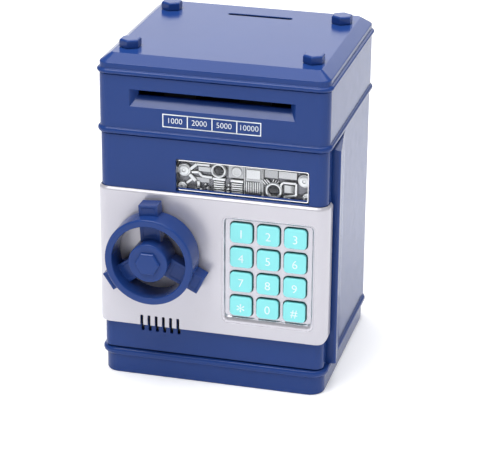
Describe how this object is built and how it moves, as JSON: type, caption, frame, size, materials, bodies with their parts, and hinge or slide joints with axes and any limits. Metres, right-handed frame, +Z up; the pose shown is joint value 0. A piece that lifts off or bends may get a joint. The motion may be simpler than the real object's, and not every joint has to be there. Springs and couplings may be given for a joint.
{
  "type": "toy cash-machine savings bank",
  "caption": "Toy safe bank: blue plastic case, hinged keypad door with a latch handwheel and push keys, note slot with feed rollers, coin slot in the lid.",
  "frame": {"origin": "centre of the base's flat underside, under the middle of the beads' width and depth", "axes": "+Z up, the door, keypad and note slot face -Y, +X is the hinge side (to the viewer's right)"},
  "size_m": [0.1338, 0.1388, 0.193],
  "materials": {
    "blue_plastic": "semi-gloss moulded navy blue",
    "silver_plastic": "satin silver paint on plastic",
    "turquoise_plastic": "soft matt turquoise",
    "chrome_relief": "metallised plastic relief",
    "clear_plastic": "clear polished",
    "black_plastic": "fine matt black",
    "grey_rubber": "matt dark grey",
    "steel": "bright zinc-plated",
    "board_green": "green solder mask",
    "cell_jacket": "printed jacket, plain"
  },
  "bodies": {
    "housing": {"base_tray": "blue_plastic", "base_screw_1": "steel", "base_screw_2": "steel", "base_screw_3": "steel", "base_screw_4": "steel", "body_shell": "blue_plastic", "head_shell": "blue_plastic", "top_lid": "blue_plastic", "lid_stud_fl": "blue_plastic", "lid_stud_fr": "blue_plastic", "lid_stud_bl": "blue_plastic", "lid_stud_br": "blue_plastic", "coin_chute": "black_plastic", "feed_frame": "black_plastic", "feed_motor": "steel", "hinge_pin_lower": "steel", "hinge_pin_upper": "steel"},
    "drive_roller": {"drive_shaft": "steel", "drive_roller_left": "grey_rubber", "drive_roller_right": "grey_rubber"},
    "idler_roller": {"idler_shaft": "steel", "idler_roller_left": "black_plastic", "idler_roller_right": "black_plastic"},
    "door": {"door_shell": "blue_plastic", "front_panel": "silver_plastic", "keypad_membrane": "grey_rubber", "circuit_board": "board_green", "window_lens": "clear_plastic", "mechanism_relief": "chrome_relief", "speaker": "black_plastic", "lock_solenoid": "steel", "door_cover": "blue_plastic", "door_screw_1": "steel", "door_screw_2": "steel", "door_screw_3": "steel", "door_screw_4": "steel", "battery_box": "blue_plastic", "aa_cell_1": "cell_jacket", "aa_cell_2": "cell_jacket", "aa_cell_3": "cell_jacket"},
    "battery_cover": {"battery_cover": "blue_plastic"},
    "handwheel": {"handwheel": "blue_plastic", "wheel_cap": "blue_plastic", "wheel_shaft": "steel", "latch_cam": "steel"},
    "key_1": {"key_1": "turquoise_plastic"},
    "key_2": {"key_2": "turquoise_plastic"},
    "key_3": {"key_3": "turquoise_plastic"},
    "key_4": {"key_4": "turquoise_plastic"},
    "key_5": {"key_5": "turquoise_plastic"},
    "key_6": {"key_6": "turquoise_plastic"},
    "key_7": {"key_7": "turquoise_plastic"},
    "key_8": {"key_8": "turquoise_plastic"},
    "key_9": {"key_9": "turquoise_plastic"},
    "key_star": {"key_star": "turquoise_plastic"},
    "key_0": {"key_0": "turquoise_plastic"},
    "key_hash": {"key_hash": "turquoise_plastic"}
  },
  "joints": [
    {"name": "door_swing", "type": "hinge", "parent": "housing", "child": "door", "pos_m": [0.061, -0.051, 0.0797], "axis": [0, 0, 1], "range_deg": [0, 95]},
    {"name": "handwheel_turn", "type": "hinge", "parent": "door", "child": "handwheel", "pos_m": [-0.0305, -0.0594, 0.0781], "axis": [0, 1, 0], "range_deg": [0, 90]},
    {"name": "battery_cover_slide", "type": "slide", "parent": "door", "child": "battery_cover", "axis": [0, 0, 1], "range_m": [0, 0.012]},
    {"name": "drive_roller_spin", "type": "hinge", "parent": "housing", "child": "drive_roller", "pos_m": [0, -0.042, 0.1608], "axis": [1, 0, 0], "continuous": true},
    {"name": "idler_roller_spin", "type": "hinge", "parent": "housing", "child": "idler_roller", "pos_m": [0, -0.042, 0.1714], "axis": [1, 0, 0], "continuous": true},
    {"name": "key_1_press", "type": "slide", "parent": "door", "child": "key_1", "axis": [0, 1, 0], "range_m": [0, 0.0012], "stiffness_N_per_m": 300},
    {"name": "key_2_press", "type": "slide", "parent": "door", "child": "key_2", "axis": [0, 1, 0], "range_m": [0, 0.0012], "stiffness_N_per_m": 300},
    {"name": "key_3_press", "type": "slide", "parent": "door", "child": "key_3", "axis": [0, 1, 0], "range_m": [0, 0.0012], "stiffness_N_per_m": 300},
    {"name": "key_4_press", "type": "slide", "parent": "door", "child": "key_4", "axis": [0, 1, 0], "range_m": [0, 0.0012], "stiffness_N_per_m": 300},
    {"name": "key_5_press", "type": "slide", "parent": "door", "child": "key_5", "axis": [0, 1, 0], "range_m": [0, 0.0012], "stiffness_N_per_m": 300},
    {"name": "key_6_press", "type": "slide", "parent": "door", "child": "key_6", "axis": [0, 1, 0], "range_m": [0, 0.0012], "stiffness_N_per_m": 300},
    {"name": "key_7_press", "type": "slide", "parent": "door", "child": "key_7", "axis": [0, 1, 0], "range_m": [0, 0.0012], "stiffness_N_per_m": 300},
    {"name": "key_8_press", "type": "slide", "parent": "door", "child": "key_8", "axis": [0, 1, 0], "range_m": [0, 0.0012], "stiffness_N_per_m": 300},
    {"name": "key_9_press", "type": "slide", "parent": "door", "child": "key_9", "axis": [0, 1, 0], "range_m": [0, 0.0012], "stiffness_N_per_m": 300},
    {"name": "key_star_press", "type": "slide", "parent": "door", "child": "key_star", "axis": [0, 1, 0], "range_m": [0, 0.0012], "stiffness_N_per_m": 300},
    {"name": "key_0_press", "type": "slide", "parent": "door", "child": "key_0", "axis": [0, 1, 0], "range_m": [0, 0.0012], "stiffness_N_per_m": 300},
    {"name": "key_hash_press", "type": "slide", "parent": "door", "child": "key_hash", "axis": [0, 1, 0], "range_m": [0, 0.0012], "stiffness_N_per_m": 300}
  ],
  "couplings": [
    {"joint": "idler_roller_spin", "follows": "drive_roller_spin", "ratio": -1.5}
  ]
}
